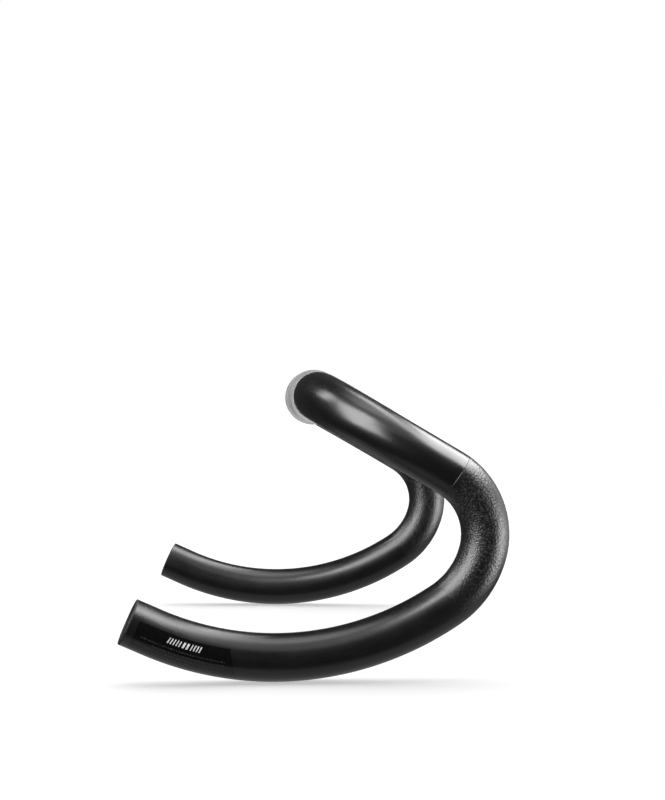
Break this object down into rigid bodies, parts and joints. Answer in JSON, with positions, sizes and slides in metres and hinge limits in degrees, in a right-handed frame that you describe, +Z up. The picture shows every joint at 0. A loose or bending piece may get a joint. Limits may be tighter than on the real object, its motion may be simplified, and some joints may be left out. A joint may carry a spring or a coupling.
{
  "type": "drop handlebar",
  "caption": "Road drop handlebar: a thicker round stem clamp, straight tops, forward ramps, curved hooks and open-ended drops.",
  "frame": {"origin": "centre of the stem clamp, on the clamp's axis", "axes": "+X along the clamp's axis to the rider's left, -Y forwards, +Z up with the ramps 30.5 degrees below level; azimuth 0 sees the front of the bar"},
  "size_m": [0.4652, 0.1955, 0.1579],
  "materials": {
    "satin_carbon": "satin clear coat over carbon fibre",
    "bare_carbon": "uncoated moulded carbon fibre",
    "grip_texture": "matte grit coating",
    "lever_texture": "fine stipple in satin black",
    "gloss_print": "gloss black print",
    "white_print": "white print",
    "grey_print": "dark grey print"
  },
  "bodies": {
    "root": {"centre_tube": "satin_carbon", "stem_clamp_band": "grip_texture", "left_drop_tube": "satin_carbon", "left_joint_sleeve": "bare_carbon", "left_lever_band": "lever_texture", "left_front_panel": "gloss_print", "left_stripe_1": "white_print", "left_stripe_2": "white_print", "left_stripe_3": "white_print", "left_front_mark_1": "white_print", "left_front_mark_2": "white_print", "left_front_mark_3": "white_print", "left_front_mark_4": "white_print", "left_front_mark_5": "white_print", "right_drop_tube": "satin_carbon", "right_joint_sleeve": "bare_carbon", "right_lever_band": "lever_texture", "right_front_panel": "gloss_print", "right_stripe_1": "white_print", "right_stripe_2": "white_print", "right_stripe_3": "white_print", "right_front_mark_1": "white_print", "right_front_mark_2": "white_print", "right_front_mark_3": "white_print", "right_front_mark_4": "white_print", "right_front_mark_5": "white_print", "spec_label": "gloss_print", "spec_heading_1": "white_print", "spec_heading_2": "white_print", "spec_heading_3": "white_print", "spec_line_1": "grey_print", "spec_line_2": "grey_print", "spec_line_3": "grey_print", "spec_line_4": "grey_print"}
  },
  "joints": []
}
